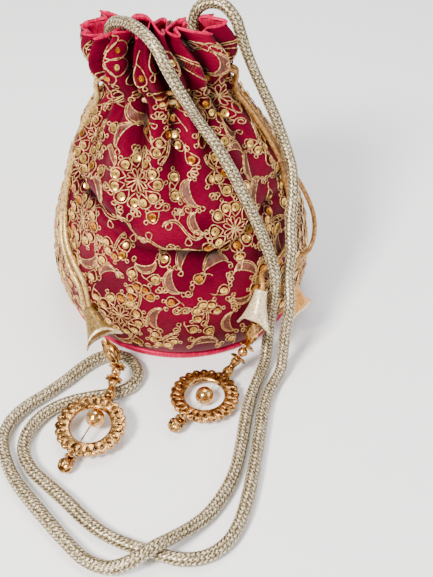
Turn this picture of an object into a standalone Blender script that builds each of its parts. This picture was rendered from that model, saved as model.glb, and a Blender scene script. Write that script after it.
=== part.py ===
"""Potli bag: a gathered cloth pouch with a lining, a piped round base, a knitted handle cord,
two drawstrings and two hanging tassels. Metres, +Z up, front towards -Y.
The origin is the middle of the base panel's underside."""
import math

import bmesh
import bpy
from mathutils import Matrix, Vector

MM = 0.001

# Driving dimensions of the pouch, in millimetres. The profile is (height, outer radius), bottom to rim.
NECK_RADIUS = 29.5
BAG_PROFILE = ((4.6, 66.0), (8, 69), (18, 72), (30, 73), (42, 72), (60, 68), (80, 61), (98, 54),
               (112, 47), (124, 39), (132, 32), (138, NECK_RADIUS), (146, NECK_RADIUS), (152, 31.5),
               (159, 33), (166, 32))
NECK_LEAN = 5.0
RIM_LEAN = 8.0
CLOTH = 1.0
LINING = 0.7
GAP = 0.3
CASING_LOW = 133.0
CASING_HIGH = 149.0
CASING_WIDTH = 4.6
BASE_RADIUS = 62.9
BASE_THICK = 1.6
STIFFENER_THICK = 1.0
PIPING_RADIUS = 2.0
SLIT_WIDTH = 14.0
SLIT_HEIGHT = 4.4
SLIT_THROUGH = 8.0
TURN_STEPS = 40

# Cords
HANDLE_D = 7.0
STRING_D = 2.6
LEFT_LOOP_Z = 139.0
RIGHT_LOOP_Z = 144.0
LOOP_RADIUS = 26.0

# Tassels
BELL_LENGTH = 18.0
BELL_MOUTH = 8.0
BELL_NECK = 3.4
BELL_WALL = 0.5
BUD_LENGTH = 12.6
BUD_DROP = 2.4
RING_OUTER = 18.5
RING_HOLE = 10.5
RING_THICK = 3.0
SCALLOPS = 24
SCALLOP_DEPTH = 1.1
WIRE_R = 0.4
BORE_R = 0.75
BEAD_R = 4.9

COLLECTION = bpy.data.collections.new("potli_bag")
CUTTERS = bpy.data.collections.new("cutters")


def clear_scene():
    for item in list(bpy.data.objects):
        bpy.data.objects.remove(item, do_unlink=True)
    bpy.context.scene.collection.children.link(COLLECTION)
    bpy.context.scene.collection.children.link(CUTTERS)


def material(name, colour, roughness, metallic=0.0):
    mat = bpy.data.materials.new(name)
    mat.use_nodes = True
    shader = mat.node_tree.nodes["Principled BSDF"]
    shader.inputs["Base Color"].default_value = (*colour, 1.0)
    shader.inputs["Roughness"].default_value = roughness
    shader.inputs["Metallic"].default_value = metallic
    return mat


def add_object(name, data, mat, collection=COLLECTION):
    item = bpy.data.objects.new(name, data)
    collection.objects.link(item)
    if mat:
        item.data.materials.append(mat)
    return item


def evaluated_mesh(item):
    bpy.context.view_layer.update()
    graph = bpy.context.evaluated_depsgraph_get()
    return bpy.data.meshes.new_from_object(item.evaluated_get(graph))


# ---------------------------------------------------------------- the pouch's shape

def interpolate(table, height):
    """Straight-line reading of a (height, value) table."""
    if height <= table[0][0]:
        return table[0][1]
    for (low, a), (high, b) in zip(table, table[1:]):
        if height <= high:
            return a + (b - a) * (height - low) / (high - low)
    return table[-1][1]


def bag_radius(height):
    return interpolate(BAG_PROFILE, height)


def lean(height):
    """Sideways offset of the pouch's middle: the neck and the rim lean a little to the left."""
    neck = min(max((height - 60.0) / 80.0, 0.0), 1.0)
    rim = min(max((height - 140.0) / 26.0, 0.0), 1.0)
    return -NECK_LEAN * neck ** 1.3 - RIM_LEAN * rim


def on_bag(azimuth, height, gap):
    """A point the given gap outside the cloth; azimuth in degrees from +X, the front is -90."""
    radius = bag_radius(height) + gap
    angle = math.radians(azimuth)
    return (lean(height) + radius * math.cos(angle), radius * math.sin(angle), height)


def turned(name, profile, mat, steps=TURN_STEPS, closed=True):
    """A profile of (radius, height) points in mm turned about Z with a Screw modifier.
    The points run down the outer side and back up the inner side."""
    mesh = bpy.data.meshes.new(name)
    verts = [(r * MM, 0.0, z * MM) for r, z in profile]
    edges = [(i, i + 1) for i in range(len(verts) - 1)]
    if closed:
        edges.append((len(verts) - 1, 0))
    mesh.from_pydata(verts, edges, [])
    item = add_object(name, mesh, mat)
    screw = item.modifiers.new("turn", "SCREW")
    screw.steps = steps
    screw.render_steps = steps
    screw.use_merge_vertices = True
    screw.merge_threshold = 0.00001
    screw.use_smooth_shade = True
    return item


def lean_over(item):
    """Replaces a turned shape by its mesh, with each ring moved sideways by the lean."""
    mesh = evaluated_mesh(item)
    item.modifiers.clear()
    for vertex in mesh.vertices:
        vertex.co.x += lean(vertex.co.z / MM) * MM
    item.data = mesh
    return item


def outer_bag(mat):
    outside = [(r, z) for z, r in reversed(BAG_PROFILE)]
    inside = [(r - CLOTH, z) for z, r in BAG_PROFILE]
    item = lean_over(turned("outer_bag", outside + inside, mat))
    for side, height in ((-1, LEFT_LOOP_Z), (1, RIGHT_LOOP_Z)):
        cut_slit(item, side, height)
    return item


def cut_slit(item, side, height):
    """The buttonhole in the neck's side that both strands of one drawstring come out of."""
    middle = lean(height) + side * (NECK_RADIUS - CLOTH / 2)
    mesh = bpy.data.meshes.new("slit")
    shape = bmesh.new()
    bmesh.ops.create_cube(shape, size=1.0)
    bmesh.ops.scale(shape, vec=(SLIT_THROUGH * MM, SLIT_WIDTH * MM, SLIT_HEIGHT * MM), verts=shape.verts)
    bmesh.ops.translate(shape, vec=(middle * MM, 0.0, height * MM), verts=shape.verts)
    shape.to_mesh(mesh)
    shape.free()
    cutter = add_object(f"slit_{'left' if side < 0 else 'right'}", mesh, None, CUTTERS)
    cutter.hide_render = True
    cutter.display_type = "WIRE"
    cut = item.modifiers.new("slit", "BOOLEAN")
    cut.operation = "DIFFERENCE"
    cut.solver = "EXACT"
    cut.object = cutter


def lining_radius(height):
    """The lining lies against the cloth, except at the casing, where it steps in round the strings."""
    close = bag_radius(height) - CLOTH - GAP
    step_in = CASING_LOW - 4.0 < height < CASING_HIGH + 3.0
    return min(close, NECK_RADIUS - CLOTH - CASING_WIDTH) if step_in else close


def lining_bag(mat):
    floor = BASE_THICK + GAP + STIFFENER_THICK + GAP
    heights = [165.0, 159, 154, CASING_HIGH, 144, 140, CASING_LOW + 1, 126, 118, 108, 98, 80, 60, 42, 30, 18, 9]
    outside = [(lining_radius(z), z) for z in heights]
    outside += [(58.5, 5.2), (56.5, 4.0), (54.0, floor)]
    inside = [(r - LINING, z) for r, z in reversed(outside[:-2])]
    inside = [(54.0, floor + LINING), (57.0, 5.4)] + inside[1:]
    profile = outside + [(0.0, floor), (0.0, floor + LINING)] + inside
    return lean_over(turned("lining_bag", profile, mat))


def disc(name, radius, low, thick, mat):
    profile = [(0.0, low + thick), (radius, low + thick), (radius, low), (0.0, low)]
    return turned(name, profile, mat, closed=False)


def piping(mat):
    middle = BASE_RADIUS + GAP + PIPING_RADIUS
    points = []
    for i in range(8):
        angle = math.radians(90 - 45 * i)
        points.append((middle + PIPING_RADIUS * math.cos(angle), PIPING_RADIUS * (1 + math.sin(angle))))
    return turned("base_piping", points, mat)


# ---------------------------------------------------------------- cords

def smooth_route(points, spacing):
    """A Catmull-Rom curve through the route's points, read at even steps of about the spacing."""
    knots = [Vector(p) for p in points]
    knots.insert(0, 2 * knots[0] - knots[1])
    knots.append(2 * knots[-1] - knots[-2])
    fine = []
    for a, b, c, d in zip(knots, knots[1:], knots[2:], knots[3:]):
        for i in range(12):
            t = i / 12
            fine.append(0.5 * (2 * b + (c - a) * t + (2 * a - 5 * b + 4 * c - d) * t * t
                               + (3 * b - a - 3 * c + d) * t ** 3))
    fine.append(knots[-2])
    lengths = [0.0]
    for a, b in zip(fine, fine[1:]):
        lengths.append(lengths[-1] + (b - a).length)
    count = round(lengths[-1] / spacing)
    route = []
    k = 0
    for i in range(count + 1):
        want = lengths[-1] * i / count
        while k < len(fine) - 2 and lengths[k + 1] < want:
            k += 1
        share = (want - lengths[k]) / max(lengths[k + 1] - lengths[k], 1e-9)
        route.append(fine[k].lerp(fine[k + 1], min(share, 1.0)))
    return route


def cord(name, points, diameter, spacing, resolution, mat):
    route = smooth_route(points, spacing)
    data = bpy.data.curves.new(name, "CURVE")
    data.dimensions = "3D"
    data.bevel_depth = diameter / 2 * MM
    data.bevel_resolution = resolution
    data.use_fill_caps = True
    spline = data.splines.new("POLY")
    spline.points.add(len(route) - 1)
    for point, place in zip(spline.points, route):
        point.co = (*(place * MM), 1.0)
    return add_object(name, data, mat)


def handle_route():
    """From inside the mouth on the left, over the front rim, down to the floor, round the loop
    and back up to the mouth on the right. The crossing passes over in a long low hump."""
    floor = HANDLE_D / 2 + 0.2
    left = [(-31.5, 1, 153), (-32.5, -1.5, 162.5), (-30, -6, 171), (-23, -14, 175.5), (-15, -24, 176),
            (-8, -32.5, 172), (-3, -37.5, 164), (2, -38.5, 154), (7, -38, 144)]
    left += [on_bag(-64, 132, 5.4), on_bag(-58, 121, 5.6), on_bag(-54.5, 108, 5.2),
             on_bag(-52, 94, 4.9), on_bag(-49.5, 80, 4.9), on_bag(-48.5, 66, 6.2), on_bag(-49, 55, 8.6),
             on_bag(-49.5, 43, 7.0)]
    left += [(50, -61, 29), (49, -62.5, 18), (48, -67, 8.5), (46.5, -74, floor)]
    inner = [(42.5, -86), (39, -97), (36.5, -108), (34.5, -120), (32.5, -133), (29.5, -147), (24.5, -160),
             (17, -172.5)]
    hump = [(9, -181.5, 5.4), (0.5, -189.5, 8.8), (-8, -196.5, 11.3), (-17.5, -202, 8.8), (-28, -203.5, 5.4)]
    outer = [(-39, -198.5), (-49, -189), (-58.5, -178), (-68.5, -166), (-78, -153.5), (-84.5, -141),
             (-88, -128), (-86, -115.5), (-79, -105), (-69.5, -96), (-60.5, -86.5), (-52.5, -77),
             (-44, -69.8), (-34, -68), (-26, -73), (-22.3, -82), (-25.5, -91), (-34, -96), (-45.5, -98.5),
             (-56, -101.5), (-65, -106.5), (-72, -114), (-76.3, -124), (-76.5, -135), (-71.5, -146),
             (-62.5, -155.5), (-52.5, -165), (-43, -175), (-33, -183.5), (-21, -190), (-8, -194.6),
             (5, -198), (16.5, -196), (25.5, -188.5), (31.5, -177), (35.5, -163), (38.5, -148), (41, -133),
             (43, -120), (44.8, -108), (47.5, -97), (51.5, -87.5)]
    right = [(55, -80.5, 5.4), (56.3, -75, 11), (57, -71.5, 19), (58, -68, 28), (59.3, -63.5, 38),
             on_bag(-42, 50, 8.8)]
    right += [on_bag(-38, 60, 8.0), on_bag(-31.5, 72, 6.6), on_bag(-23, 84, 7.8), on_bag(-14, 94, 8.2),
              (55.5, -6.5, 106), (50.5, -3, 118), (45, -1, 130), (39.5, 0.5, 142), (35.5, 1.5, 152),
              (32.5, 3, 161), (29.5, 5.5, 168.5), (23.5, 9.2, 173.5), (16.2, 12.2, 173.2),
              (10.4, 13, 168.8), (8.4, 12.3, 161.5), (8.6, 11, 155.5)]
    inner = [(x, y, floor) for x, y in inner]
    outer = [(x, y, floor) for x, y in outer]
    return left + inner + hump + outer + right


def loop_round_neck(height, side):
    """One turn inside the casing, with both ends easing out through the slit."""
    middle = 0.0 if side > 0 else 180.0
    easing = ((37.0, 3.3, -3.2), (34.2, 3.6, -0.6), (30.8, 5.0, 0.0), (27.0, 10.0, 0.0))
    turns = list(easing)
    turns += [(LOOP_RADIUS, 20.0 + 320.0 * i / 12, 0.0) for i in range(13)]
    turns += [(r, 360.0 - a, drop) for r, a, drop in reversed(easing)]
    points = []
    for radius, azimuth, drop in turns:
        angle = math.radians(middle + azimuth)
        points.append((lean(height) + radius * math.cos(angle), radius * math.sin(angle),
                       height + drop))
    return points


def left_string_route():
    """Out of the left bell, up the side, once round the casing and down to the bell again."""
    into_bell = bell_axis("left")
    down_back = [on_bag(183, 128.5, 2.6), on_bag(184.5, 120, 2.0), on_bag(189, 106, 1.9),
                 on_bag(192.5, 88, 1.8), on_bag(197.5, 71, 1.8), on_bag(206, 57, 2.2),
                 on_bag(216, 47.5, 2.6), on_bag(224, 40.5, 2.6)]
    down_front = [on_bag(187.5, 128.5, 2.6), on_bag(189.5, 120, 2.0), on_bag(193, 106, 1.9),
                  on_bag(196.5, 88, 2.0), on_bag(202, 71, 1.8), on_bag(210.5, 58, 1.8),
                  on_bag(219.5, 50, 1.8), on_bag(226.5, 44, 2.0)]
    ends = [offset_in_bell(into_bell, side, depth) for side in (-1, 1) for depth in (-5.0, 1.5)]
    up = [ends[0], ends[1]] + list(reversed(down_back))
    down = down_front + [ends[3], ends[2]]
    return up + list(reversed(loop_round_neck(LEFT_LOOP_Z, -1))) + down


def right_string_route():
    """Out of the tassel's bell, up under the handle cord, round the casing and down to the spare bell."""
    near = bell_axis("right")
    spare = bell_axis("spare")
    up = [on_bell(near, -5.0), on_bell(near, 2.0), on_bag(-51.5, 54, 2.0), on_bag(-44, 55, 1.8),
          on_bag(-35, 58, 1.8), on_bag(-28, 64, 1.8), on_bag(-21, 74, 1.8), on_bag(-16, 86, 1.8),
          on_bag(-12.5, 98, 1.8), on_bag(-11, 111, 1.8), on_bag(-9, 124, 2.0), on_bag(-6.5, 133, 3.0)]
    down = [on_bag(2, 133, 3.0), on_bag(-2.5, 124, 2.0), on_bag(-5.5, 111, 1.8), on_bag(-6, 98, 1.9),
            on_bag(-5, 86, 3.0), on_bag(-6, 73, 5.5), on_bag(-9, 60, 7.0), on_bag(-13.5, 50.5, 7),
            on_bag(-20.5, 46, 5.5), on_bag(-28.5, 47, 4), on_bell(spare, 3.5), on_bell(spare, -5.0)]
    return up + list(reversed(loop_round_neck(RIGHT_LOOP_Z, 1))) + down


# ---------------------------------------------------------------- tassels

# For each bell: middle of the mouth, then middle of the narrow top
BELLS = {"left": ((-41.0, -74.1, 24.0), (-49.1, -59.5, 30.5)),
         "right": ((40.5, -71.8, 33.0), (44.0, -63.5, 48.7)),
         "spare": ((66.5, -48.5, 21.0), (60.2, -46.9, 39.5))}

# For each tassel: ring centre, ring heading and pitch, stem heading and pitch, bud heading and pitch.
# A heading is in degrees from +Y towards +X; the direction points up the tassel, away from the drop.
TASSELS = {"left": ((-43.8, -122.3, 8.2), 25.0, 8.0, 10.0, 12.0, -39.0, 32.0),
           "right": ((14.0, -99.0, 5.2), 36.0, 0.0, 50.5, 39.0, 63.0, 78.0)}


def bell_axis(name):
    mouth, top = (Vector(p) for p in BELLS[name])
    return mouth, (top - mouth).normalized()


def on_bell(axis, beyond_top):
    mouth, direction = axis
    return tuple(mouth + direction * (BELL_LENGTH + beyond_top))


def offset_in_bell(axis, side, beyond_top):
    """A point beside the bell's axis, so that the two strands lie next to each other."""
    mouth, direction = axis
    across = direction.cross(Vector((0, 0, 1))).normalized() * side * (STRING_D / 2 + 0.15)
    return tuple(mouth + direction * (BELL_LENGTH + beyond_top) + across)


def direction_of(heading, pitch):
    level = math.cos(math.radians(pitch))
    return Vector((math.sin(math.radians(heading)) * level, math.cos(math.radians(heading)) * level,
                   math.sin(math.radians(pitch))))


def place_along(item, point, direction):
    """Puts a turned piece's foot at the point, with its own Z along the direction."""
    turn = direction.to_track_quat("Z", "Y")
    item.matrix_world = Matrix.Translation(Vector(point) * MM) @ turn.to_matrix().to_4x4()


def bell(name, node, mat):
    outside = [(BELL_NECK, 18), (BELL_NECK + 0.1, 14), (4.2, 9), (5.8, 4), (BELL_MOUTH, 0)]
    inside = [(r - BELL_WALL, z) for r, z in reversed(outside)]
    mouth, direction = bell_axis(name)
    item = turned(node, outside + inside, mat, 20)
    place_along(item, mouth, direction)


def bored(name, outline, mat, steps=16):
    """A turned bead or cap with the thread's bore down its middle."""
    top = outline[0][1]
    foot = outline[-1][1]
    return turned(name, outline + [(BORE_R, foot), (BORE_R, top)], mat, steps)


def ball_outline(radius, middle):
    """A sphere's side between its two bored ends."""
    tilt = math.acos((BORE_R + 0.25) / radius)
    angles = [tilt - 2 * tilt * i / 8 for i in range(9)]
    return [(radius * math.cos(a), middle + radius * math.sin(a)) for a in angles]


def ring_curve(name, mat):
    """The scalloped ring lies in its own XY plane; +Y points to the stem."""
    data = bpy.data.curves.new(name, "CURVE")
    data.dimensions = "2D"
    data.fill_mode = "BOTH"
    data.extrude = RING_THICK / 2 * MM
    outer = []
    for i in range(SCALLOPS * 4):
        wave = abs(math.sin(math.pi * i / 4))
        radius = RING_OUTER - SCALLOP_DEPTH * (1 - wave)
        angle = 2 * math.pi * i / (SCALLOPS * 4)
        outer.append((radius * math.cos(angle), radius * math.sin(angle)))
    inner = []
    for i in range(32):
        angle = 2 * math.pi * i / 32
        inner.append((RING_HOLE * math.cos(angle), RING_HOLE * math.sin(angle)))
    for outline in (outer, inner):
        spline = data.splines.new("POLY")
        spline.use_cyclic_u = True
        spline.points.add(len(outline) - 1)
        for point, (x, y) in zip(spline.points, outline):
            point.co = (x * MM, y * MM, 0.0, 1.0)
    return add_object(name, data, mat)


def bored_ring(name, mat):
    """The ring made a mesh, with the pin wire's bore right across it."""
    drawn = ring_curve(name + "_outline", None)
    mesh = evaluated_mesh(drawn)
    bpy.data.objects.remove(drawn, do_unlink=True)
    shape = bmesh.new()
    shape.from_mesh(mesh)
    bmesh.ops.remove_doubles(shape, verts=shape.verts, dist=0.00001)
    bmesh.ops.recalc_face_normals(shape, faces=shape.faces)
    shape.to_mesh(mesh)
    shape.free()
    item = add_object(name, mesh, mat)
    mesh = bpy.data.meshes.new("bore")
    shape = bmesh.new()
    bmesh.ops.create_cone(shape, cap_ends=True, segments=8, radius1=BORE_R * MM, radius2=BORE_R * MM,
                          depth=4 * RING_OUTER * MM, matrix=Matrix.Rotation(math.pi / 2, 4, "X"))
    shape.to_mesh(mesh)
    shape.free()
    cutter = add_object(name + "_bore", mesh, None, CUTTERS)
    cutter.hide_render = True
    cutter.display_type = "WIRE"
    cutter.parent = item
    cut = item.modifiers.new("bore", "BOOLEAN")
    cut.operation = "DIFFERENCE"
    cut.solver = "EXACT"
    cut.object = cutter
    return item


def place_ring(item, centre, direction):
    """Lays the ring with its own Y along the tassel's direction and its face upwards."""
    across = direction.cross(Vector((0, 0, 1))).normalized()
    face = across.cross(direction)
    turn = Matrix((across, direction, face)).transposed().to_4x4()
    item.matrix_world = Matrix.Translation(Vector(centre) * MM) @ turn


def wire(name, start, end, mat):
    data = bpy.data.curves.new(name, "CURVE")
    data.dimensions = "3D"
    data.bevel_depth = WIRE_R * MM
    data.bevel_resolution = 1
    data.use_fill_caps = True
    spline = data.splines.new("POLY")
    spline.points.add(1)
    spline.points[0].co = (*(Vector(start) * MM), 1.0)
    spline.points[1].co = (*(Vector(end) * MM), 1.0)
    return add_object(name, data, mat)


def tassel(side, gold, bead_at):
    """One tassel: the bud hangs from the bell's strands, the strung stem joins it to the ring,
    and the ring's pin wire carries the sliding bead and the drop."""
    centre, heading, pitch, stem_heading, stem_pitch, bud_heading, bud_pitch = TASSELS[side]
    centre = Vector(centre)
    ring_way = direction_of(heading, pitch)
    stem_way = direction_of(stem_heading, stem_pitch)
    bud_way = direction_of(bud_heading, bud_pitch)
    stem_foot = centre + ring_way * (RING_OUTER + 1.6)

    place_ring(bored_ring(f"ring_{side}", gold), centre, ring_way)
    bead = bored(f"centre_bead_{side}", ball_outline(BEAD_R, 0), gold, 20)
    place_along(bead, centre + ring_way * bead_at, ring_way)
    cap = bored(f"drop_cap_{side}", [(1.5, 2.2), (2.9, 1.4), (3.4, 0)], gold)
    place_along(cap, centre - ring_way * (RING_OUTER + 2.6), ring_way)
    drop = bored(f"drop_bead_{side}", [(1.9, 7.6), (3.4, 5.6), (4.1, 3.6), (3.3, 1.5), (1.6, 0)], gold)
    place_along(drop, centre - ring_way * (RING_OUTER + 2.9 + 7.6), ring_way)
    wire(f"pin_wire_{side}", centre - ring_way * (RING_OUTER + 10.5), centre + ring_way * (RING_OUTER + 1.0),
         gold)

    pieces = (("neck_tube", [(1.7, 9.0), (1.9, 6.0), (1.5, 4.4), (2.1, 2.6), (1.9, 0)], 9.0),
              ("lower_flange", [(2.2, 2.2), (4.2, 0.7), (4.2, 0)], 2.2),
              ("round_bead", ball_outline(2.7, 2.6), 5.2),
              ("upper_flange", [(2.2, 2.2), (4.2, 0.7), (4.2, 0)], 2.2))
    along = 0.0
    for name, outline, length in pieces:
        item = bored(f"{name}_{side}", outline, gold)
        place_along(item, stem_foot + stem_way * along, stem_way)
        along += length + GAP
    stem_top = stem_foot + stem_way * along
    wire(f"stem_wire_{side}", stem_foot + stem_way * 0.5, stem_top, gold)
    bud = bored(f"fluted_bud_{side}", [(1.8, BUD_LENGTH), (2.4, 10), (3.8, 5), (3.4, 2), (2.0, 0)], gold)
    place_along(bud, stem_top + bud_way * BUD_DROP, bud_way)


def build():
    clear_scene()
    silk = material("embroidered_silk", (0.28, 0.02, 0.07), 0.55)
    satin = material("crimson_satin", (0.55, 0.02, 0.10), 0.35)
    card = material("card_board", (0.45, 0.38, 0.28), 0.9)
    knit = material("metallic_knit", (0.50, 0.42, 0.28), 0.4, 0.6)
    rattail = material("satin_cord", (0.62, 0.42, 0.18), 0.4)
    tissue = material("gold_tissue", (0.62, 0.50, 0.26), 0.35, 0.3)
    gold = material("gilt_metal", (0.72, 0.40, 0.16), 0.28, 1.0)

    outer_bag(silk)
    lining_bag(satin)
    disc("base_panel", BASE_RADIUS, 0.0, BASE_THICK, satin)
    disc("base_stiffener", BASE_RADIUS - 4.5, BASE_THICK + GAP, STIFFENER_THICK, card)
    piping(satin)
    cord("handle_cord", handle_route(), HANDLE_D, 14.5, 2, knit)
    cord("drawstring_left", left_string_route(), STRING_D, 6.6, 2, rattail)
    cord("drawstring_right", right_string_route(), STRING_D, 6.6, 2, rattail)
    for name, node in (("left", "bell_left"), ("right", "bell_right"), ("spare", "spare_bell_right")):
        bell(name, node, tissue)
    tassel("left", gold, 5.0)
    tassel("right", gold, 0.0)


build()
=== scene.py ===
import math
import random

import bmesh
import bpy
import numpy as np
from mathutils import Matrix, Vector


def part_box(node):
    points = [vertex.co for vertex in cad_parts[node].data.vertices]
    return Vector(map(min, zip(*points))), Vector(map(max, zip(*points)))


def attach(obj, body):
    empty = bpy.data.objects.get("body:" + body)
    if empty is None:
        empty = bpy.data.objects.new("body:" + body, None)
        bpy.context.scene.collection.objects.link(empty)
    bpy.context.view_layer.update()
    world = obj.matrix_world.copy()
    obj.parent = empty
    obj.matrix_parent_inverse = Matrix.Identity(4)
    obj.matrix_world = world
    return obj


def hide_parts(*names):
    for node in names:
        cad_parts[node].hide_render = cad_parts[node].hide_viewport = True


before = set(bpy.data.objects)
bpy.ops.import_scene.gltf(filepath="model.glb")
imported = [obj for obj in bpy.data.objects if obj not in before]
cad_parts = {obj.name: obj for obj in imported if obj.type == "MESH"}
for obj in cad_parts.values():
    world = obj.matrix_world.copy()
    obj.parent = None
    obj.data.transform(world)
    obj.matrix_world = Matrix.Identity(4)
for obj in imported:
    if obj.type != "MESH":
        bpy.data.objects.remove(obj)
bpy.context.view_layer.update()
MM = 0.001

# ---------------------------------------------------------------- floor, light and camera
# A plain pale floor and soft studio light from the upper left, with the camera in front of and
# above the pouch. The camera looks at a point on the floor just right of the base.
LOOK_AT = Vector((0.0203, -0.0078, 0.0))
CAMERA_AWAY = 0.600
CAMERA_PITCH = math.radians(41.5)
LENS_MM = 62.4


def colour(code):
    """Turns an sRGB hex colour into linear red, green, blue and alpha."""
    parts = [int(code[i:i + 2], 16) / 255 for i in (1, 3, 5)]
    linear = [c / 12.92 if c <= 0.04045 else ((c + 0.055) / 1.055) ** 2.4 for c in parts]
    return (*linear, 1.0)


def add_node(tree, kind, settings=None, links=None):
    """Adds a node, sets its properties or sockets by name, and links sockets to other outputs."""
    item = tree.nodes.new(kind)
    for key, value in (settings or {}).items():
        if isinstance(key, str) and hasattr(item, key) and not isinstance(value, tuple):
            setattr(item, key, value)
        else:
            item.inputs[key].default_value = value
    for key, source in (links or {}).items():
        tree.links.new(source, item.inputs[key])
    return item


def new_material(name, base, roughness, metallic=0.0):
    """A material with a Principled shader; its tree and shader come back with it."""
    mat = bpy.data.materials.new(name)
    mat.use_nodes = True
    shader = mat.node_tree.nodes["Principled BSDF"]
    shader.inputs["Base Color"].default_value = colour(base)
    shader.inputs["Roughness"].default_value = roughness
    shader.inputs["Metallic"].default_value = metallic
    return mat, mat.node_tree, shader


def add_ramp(tree, source, dark, light):
    """A colour ramp between two stops, each a position and a hex colour."""
    ramp = add_node(tree, "ShaderNodeValToRGB", {}, {"Fac": source})
    for element, (position, code) in zip(ramp.color_ramp.elements, (dark, light)):
        element.position = position
        element.color = colour(code)
    return ramp


def add_bump(tree, shader, strength, distance, source):
    """A bump on the shader's normal, from a texture; distance is in metres."""
    bump = add_node(tree, "ShaderNodeBump", {"Strength": strength, "Distance": distance},
                    {"Height": source.outputs["Fac"]})
    tree.links.new(bump.outputs["Normal"], shader.inputs["Normal"])


def add_piece(name, mesh, mat, body="pouch", smooth=True):
    """Puts a finished mesh in the scene, riding on its CAD body."""
    item = bpy.data.objects.new(name, mesh)
    bpy.context.scene.collection.objects.link(item)
    if mat:
        mesh.materials.append(mat)
    if smooth:
        mesh.shade_smooth()
    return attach(item, body)


def mesh_of(shape, name):
    mesh = bpy.data.meshes.new(name)
    shape.to_mesh(mesh)
    shape.free()
    return mesh


def mesh_from_curve(name, data):
    """Turns finished curve data into a mesh."""
    drawn = bpy.data.objects.new(name, data)
    bpy.context.scene.collection.objects.link(drawn)
    bpy.context.view_layer.update()
    mesh = bpy.data.meshes.new_from_object(drawn.evaluated_get(bpy.context.evaluated_depsgraph_get()))
    bpy.data.objects.remove(drawn, do_unlink=True)
    mesh.name = name
    return mesh


def studio_floor():
    mat, tree, shader = new_material("matt_white_floor", "#FFFFFF", 0.8)
    grain = add_node(tree, "ShaderNodeTexNoise", {"Scale": 60.0})
    add_bump(tree, shader, 0.03, 0.001, grain)
    shape = bmesh.new()
    bmesh.ops.create_grid(shape, x_segments=1, y_segments=1, size=3.0)
    item = bpy.data.objects.new("floor", mesh_of(shape, "floor"))
    item.data.materials.append(mat)
    bpy.context.scene.collection.objects.link(item)


def area_light(name, place, size, power, tint):
    lamp = bpy.data.lights.new(name, "AREA")
    lamp.size = size
    lamp.energy = power
    lamp.color = colour(tint)[:3]
    item = bpy.data.objects.new(name, lamp)
    item.location = place
    item.rotation_euler = (Vector((0, -0.04, 0.06)) - item.location).to_track_quat("-Z", "Y").to_euler()
    bpy.context.scene.collection.objects.link(item)


def studio():
    world = bpy.data.worlds.new("studio")
    world.use_nodes = True
    world.node_tree.nodes["Background"].inputs["Color"].default_value = colour("#FBFBFF")
    world.node_tree.nodes["Background"].inputs["Strength"].default_value = 0.62
    bpy.context.scene.world = world
    area_light("key", (-0.55, -0.75, 0.95), 0.30, 36.0, "#FFFAF2")
    area_light("fill", (0.85, -0.35, 0.60), 0.60, 5.0, "#F4F7FF")
    area_light("top", (0.05, 0.35, 1.10), 0.50, 9.0, "#FFFFFF")
    lens = bpy.data.cameras.new("camera")
    lens.lens = LENS_MM
    lens.clip_start = 0.01
    item = bpy.data.objects.new("camera", lens)
    back = Vector((0, -math.cos(CAMERA_PITCH), math.sin(CAMERA_PITCH)))
    item.location = LOOK_AT + back * CAMERA_AWAY
    item.rotation_euler = (math.pi / 2 - CAMERA_PITCH, 0.0, 0.0)
    bpy.context.scene.collection.objects.link(item)
    bpy.context.scene.camera = item


studio_floor()
studio()

# ---------------------------------------------------------------- pouch cloth
# The pouch is maroon-crimson dupion silk, cut 459 mm round and 174 mm tall, gathered in at
# the neck by the casing's stitching, with a loose frill above it and sag folds below.
BAG_PROFILE = ((4.6, 66.0), (8, 69), (18, 72), (30, 73), (42, 72), (60, 68), (80, 61), (98, 54),
               (112, 47), (124, 39), (132, 32), (138, 29.5), (146, 29.5), (152, 31.5), (159, 33), (166, 32))
NECK_LEAN = 5.0
RIM_LEAN = 8.0
CLOTH_ROUND = 459.0
COLUMNS = 320
ROWS = 104
CLOTH_THICK = 0.8


def smooth_points(points, spacing):
    """A Catmull-Rom curve through the points, read at even steps of about the spacing."""
    knots = [2 * Vector(points[0]) - Vector(points[1])] + [Vector(p) for p in points]
    knots.append(2 * knots[-1] - knots[-2])
    fine = []
    for a, b, c, d in zip(knots, knots[1:], knots[2:], knots[3:]):
        for i in range(12):
            t = i / 12
            fine.append(0.5 * (2 * b + (c - a) * t + (2 * a - 5 * b + 4 * c - d) * t * t
                               + (3 * b - a - 3 * c + d) * t ** 3))
    fine.append(knots[-2])
    steps = np.array([(b - a).length for a, b in zip(fine, fine[1:])])
    lengths = np.concatenate([[0.0], np.cumsum(steps)])
    even = np.linspace(0.0, lengths[-1], max(int(round(lengths[-1] / spacing)), 2) + 1)
    table = np.array([tuple(p) for p in fine])
    return np.stack([np.interp(even, lengths, table[:, k]) for k in range(table.shape[1])], axis=1)


SIDE = smooth_points([(r, z, 0.0) for z, r in BAG_PROFILE], 0.5)
SIDE_LENGTH = 0.5 * (len(SIDE) - 1)
SIDE_ALONG = np.linspace(0.0, SIDE_LENGTH, len(SIDE))


def smooth_step(value, low, high):
    t = min(max((value - low) / (high - low), 0.0), 1.0)
    return t * t * (3 - 2 * t)


def lean(height):
    neck = min(max((height - 60.0) / 80.0, 0.0), 1.0)
    rim = min(max((height - 140.0) / 26.0, 0.0), 1.0)
    return -NECK_LEAN * neck ** 1.3 - RIM_LEAN * rim


# Deep folds, each with its middle in degrees, depth in mm, half-width in degrees and reach in mm
DEEP_FOLDS = ((-86, 8.0, 5.5, 70), (-113, 6.5, 5, 90), (-134, 6.0, 5, 70), (-152, 8.0, 6, 90),
              (-62, 5.0, 5, 66), (-38, 6.0, 6, 80), (-174, 4.5, 6, 60), (-12, 4.5, 6, 66),
              (18, 5.0, 7, 72), (44, 4.5, 6, 62), (72, 5.5, 6, 76), (98, 4.5, 7, 64),
              (126, 5.5, 6, 72), (152, 4.5, 6, 62))
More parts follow.
